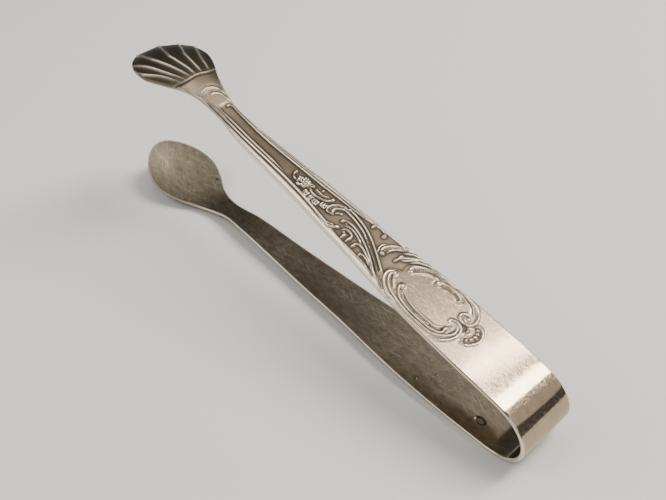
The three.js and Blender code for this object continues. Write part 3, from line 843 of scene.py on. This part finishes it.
def silver(name, stipple=0.0):
    g = Graph(name)
    st = g.attr("strip", True)
    xyz = g.n.new("ShaderNodeSeparateXYZ")
    g.put(xyz.inputs[0], st)
    far_out = g.math("ABSOLUTE", xyz.outputs[0])
    # the bow is kept bright by handling, the patterned arms less so, the shells least
    in_pattern, in_shell = g.remap(far_out, 21, 29), g.remap(far_out, 117, 133)
    tarnish = g.math("MULTIPLY_ADD", in_pattern, .27, .34)
    in_neck = g.remap(far_out, 99, 115)
    base_rough = g.math("MULTIPLY_ADD", in_shell, .03, g.math("MULTIPLY_ADD", in_pattern, .17, .045))
    # weight of the inner faces: how much painted shade they take, and their extra roughness and scratches
    inside = g.math("ADD", g.math("MULTIPLY_ADD", in_shell, -.04, .80), g.math("MULTIPLY", in_pattern, .15))
    dark_, raised_, outer_, rim_, notch_, turns_ = (g.attr(x) for x in ("dark", "raised", "outer", "rim", "notch", "turns"))
    # cloudy tarnish, in soft blotches drawn out along the strip
    long_ = g.scale(st, (.45, 1, 1))
    cloud = g.noise(long_, .22, 5, .6, .5)
    cloud2 = g.noise(long_, .75, 4, .6, .3)
    fine = g.noise(st, 3.2, 3, .55)
    blot = g.remap(cloud, .35, .70)
    t3 = g.math("MULTIPLY_ADD", g.remap(cloud2, .40, .75), .22, g.math("MULTIPLY", blot, tarnish), clamp=True)
    t3 = g.math("ADD", t3, g.math("MULTIPLY", in_neck, .80), clamp=True)
    c1 = g.mix(t3, SATIN, WARM)
    # raised relief and edges are painted toward bright polish: rubbed wear and a painted highlight in one
    wear_and_highlight = g.math("MULTIPLY", g.remap(fine, .15, .6, .55, .80), g.math("SUBTRACT", g.math("MULTIPLY_ADD", in_shell, .12, 1.0), g.math("MULTIPLY", in_neck, .55)))
    c1 = g.mix(g.math("MULTIPLY", g.math("MAXIMUM", raised_, rim_), wear_and_highlight), c1, POLISH_AND_HIGHLIGHT)
    # the insides are duller than the polished outsides, and darker: their colour is painted shade from between the
    # arms, with rims painted bright as polish and highlight
    shaded_inside = g.mix(g.remap(cloud2, .3, .75), INSIDE_SHADE, tuple(x * .62 for x in INSIDE_SHADE[:3]) + (1,))
    shaded_inside = g.mix(g.math("MULTIPLY", rim_, g.math("MULTIPLY_ADD", in_shell, -.6, .9)), shaded_inside, POLISH_AND_HIGHLIGHT)
    inner_ = g.math("MULTIPLY", g.math("SUBTRACT", 1.0, outer_, clamp=True), inside)
    c2 = g.mix(inner_, c1, shaded_inside)
    # oxide in the recesses, broken up by rubbing; the same dark also carries the painted shade patch in the lower
    # claw's bowl
    gap = g.math("MULTIPLY", notch_, g.math("MULTIPLY_ADD", g.math("COSINE", g.math("MULTIPLY", turns_, 2 * math.pi)), -.5, .5))
    gap = g.remap(gap, .08, .45)
    d1 = g.math("MULTIPLY", dark_, g.remap(fine, .2, .75, .78, 1.08))
    d1 = g.math("MAXIMUM", d1, g.math("MULTIPLY", gap, .92))
    c3 = g.mix(g.remap(d1, .06, .85, 0, .95), c2, OXIDE)
    # a few dark specks
    spots = g.voronoi(st, .62)
    sp = g.math("MULTIPLY", g.remap(spots, .045, .075, 1, 0), g.remap(cloud2, .50, .62))
    c4 = g.mix(g.math("MULTIPLY", sp, .6), c3, OXIDE)
    # fine scratches, long ones nearly along the strip and shorter ones askew to it
    lines = None
    for angle, scl, fr, lo in ((0, (.30, 9.0, 1), 1.3, .62), (34, (.6, 11.0, 1), 1.1, .645), (-48, (.5, 12.0, 1), 1.2, .65), (71, (.8, 12.0, 1), 1.0, .66)):
        sk = g.n.new("ShaderNodeVectorRotate")
        sk.inputs["Angle"].default_value = math.radians(angle)
        g.put(sk.inputs["Vector"], st)
        x = g.remap(g.noise(g.scale(sk.outputs[0], scl), fr, 2, .5), lo, lo + .07)
        lines = x if lines is None else g.math("ADD", lines, x, clamp=True)
    deep = None
    for angle, scl in ((12, (.05, 2.6, 1)), (-27, (.09, 3.1, 1)), (58, (.16, 3.4, 1))):
        sk = g.n.new("ShaderNodeVectorRotate")
        sk.inputs["Angle"].default_value = math.radians(angle)
        g.put(sk.inputs["Vector"], st)
        x = g.remap(g.noise(g.scale(sk.outputs[0], scl), 1.0, 1, .5), .66, .72)
        deep = x if deep is None else g.math("ADD", deep, x, clamp=True)
    lines = g.math("ADD", lines, g.math("MULTIPLY", deep, g.math("MULTIPLY", inner_, .5)), clamp=True)
    scuffed = g.math("MULTIPLY", g.remap(cloud, .40, .62, .35, 1.0), inner_)
    c5 = g.mix(g.math("MULTIPLY", g.math("MULTIPLY", lines, scuffed), .85), c4, (.62, .56, .47, 1))
    rough = g.math("ADD", base_rough, g.math("MULTIPLY", t3, .06))
    rough = g.math("ADD", rough, g.math("MULTIPLY", inner_, g.math("MULTIPLY_ADD", in_shell, .28, .06)))
    rough = g.math("ADD", rough, g.math("MULTIPLY", lines, .04))
    rough = g.math("ADD", rough, g.math("MULTIPLY", g.remap(d1, .1, .9), .20))
    rough = g.math("ADD", rough, g.math("MULTIPLY", g.remap(fine, .3, .7), .025), clamp=True)
    nrm = g.bump(g.math("SUBTRACT", 1.0, lines), .30, .000012)
    nrm = g.bump(cloud2, .20, .00010, nrm)
    nrm = g.bump(fine, .22, .000022, nrm)
    nrm = g.bump(g.math("SUBTRACT", 1.0, gap), .9, .00010, nrm)
    if stipple:
        cell = g.voronoi(st, 3.4)
        pits = g.math("MULTIPLY", g.remap(cell, .10, .38), g.remap(dark_, .12, .4, 0, 1))
        nrm = g.bump(pits, stipple, .00006, nrm)
    return g.finish(c5, rough, nrm)


m_plain = silver("silver_plain")
m_relief = silver("silver_relief", .8)
m_shell = silver("silver_shell")

# ------------------------------------------------------------ bodies and ends
bodies = {"upper": "upper_arm", "lower": "lower_arm"}
crown.data.materials.append(m_plain)
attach(crown, "bow")
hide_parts("bow_crown")
for word, side in (("upper", 1), ("lower", -1)):
    mid = place(np.array(SHOULDER_END), np.array(0.0), 0.0, side) / 1000
    sh, arm, shell = pieces[f"shoulder_{word}"], pieces[f"strip_{word}"], pieces[f"shell_{word}"]
    sh.data.materials.append(m_plain)
    arm.data.materials.append(m_relief)
    shell.data.materials.append(m_shell)
    for ob, node in ((sh, f"bow_shoulder_{word}"), (arm, f"arm_{word}")):
        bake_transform(ob)
        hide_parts(node)
    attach(shell, bodies[word])
    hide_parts(f"claw_{word}")

# -------------------------------------------------------------------- staging
fm = bpy.data.materials.new("floor")
nt, n_, l_ = nodes_of(fm)
pb = n_.new("ShaderNodeBsdfPrincipled")
pb.inputs["Base Color"].default_value = (.80, .79, .77, 1)
pb.inputs["Roughness"].default_value = .75
po = n_.new("ShaderNodeOutputMaterial")
l_.new(pb.outputs[0], po.inputs[0])
me = bpy.data.meshes.new("floor")
me.from_pydata([(-3, -3, 0), (3, -3, 0), (3, 3, 0), (-3, 3, 0)], [], [(0, 1, 2, 3)])
floor = bpy.data.objects.new("floor", me)
floor.data.materials.append(fm)
bpy.context.scene.collection.objects.link(floor)

world = bpy.data.worlds.new("studio")
bpy.context.scene.world = world
world.use_nodes = True
bg = world.node_tree.nodes["Background"]
bg.inputs[0].default_value = (1.0, .985, .96, 1)
bg.inputs[1].default_value = .15


def area(name, at, look, size, power, color=(1, 1, 1)):
    d = bpy.data.lights.new(name, "AREA")
    d.shape = "RECTANGLE"
    d.size, d.size_y = size
    d.energy = power
    d.color = color
    o = bpy.data.objects.new(name, d)
    bpy.context.scene.collection.objects.link(o)
    o.location = at
    back = (Vector(at) - Vector(look)).normalized()
    across = (Vector((1, 0, 0)) - back * back.x).normalized()
    up_ = back.cross(across)
    o.matrix_world = Matrix([[across[i], up_[i], back[i], at[i]] for i in range(3)] + [[0, 0, 0, 1]])
    return o


def glow(name, toward, far, size, radiance, color=(1, 1, 1)):
    """A soft panel in a given direction from the bow, with its brightness as radiance."""
    aim = Vector((.045, 0, .018))
    area(name, aim + Vector(toward).normalized() * far, aim, size, radiance * math.pi * size[0] * size[1], color)


def bearing(lean, behind):
    """A direction: lean turns it from straight up towards +X, behind tips it towards +Y (degrees)."""
    p, q = math.radians(lean), math.radians(behind)
    return math.sin(p) * math.cos(q), math.sin(q), math.cos(p) * math.cos(q)


glow("window_a", bearing(16.2, 34), .9, (.205, .55), 22.0, (1, .945, .88))
glow("window_b", bearing(3.0, 34), .9, (.055, .55), 15.0, (1, .955, .90))
glow("back", bearing(-13.5, 30.5), 1.0, (.52, .30), .85, (1, .97, .93))
glow("right_back", bearing(46, 34), 1.0, (.52, .45), .75, (1, .96, .92))
glow("top", (-.20, .16, .96), 1.0, (.80, .22), 3.4, (1, .985, .95))
glow("key", (-.50, -.56, .68), 1.2, (.85, .85), 2.6, (1, .985, .96))
glow("side", (.75, -.35, .62), 1.2, (.7, .7), 1.6, (.99, .99, 1))

# --------------------------------------------------------------------- camera
cd = bpy.data.cameras.new("camera")
cd.sensor_width = 36
cd.lens = 776.6362 / 666 * 36
cam = bpy.data.objects.new("camera", cd)
bpy.context.scene.collection.objects.link(cam)
cam_at = (turn(np.array([-24.75984965, 94.9712926, 145.00729164])) + SHIFT) / 1000
fwd = turn(np.array([.46859855, -.48649325, -.73738709]))
up = turn(np.array([.57146617, -.46960141, .67297915]))
right = np.cross(fwd, up)
cam.matrix_world = Matrix([[right[0], up[0], -fwd[0], cam_at[0]], [right[1], up[1], -fwd[1], cam_at[1]],
                           [right[2], up[2], -fwd[2], cam_at[2]], [0, 0, 0, 1]])
cd.clip_start, cd.clip_end = .005, 20
bpy.context.scene.camera = cam
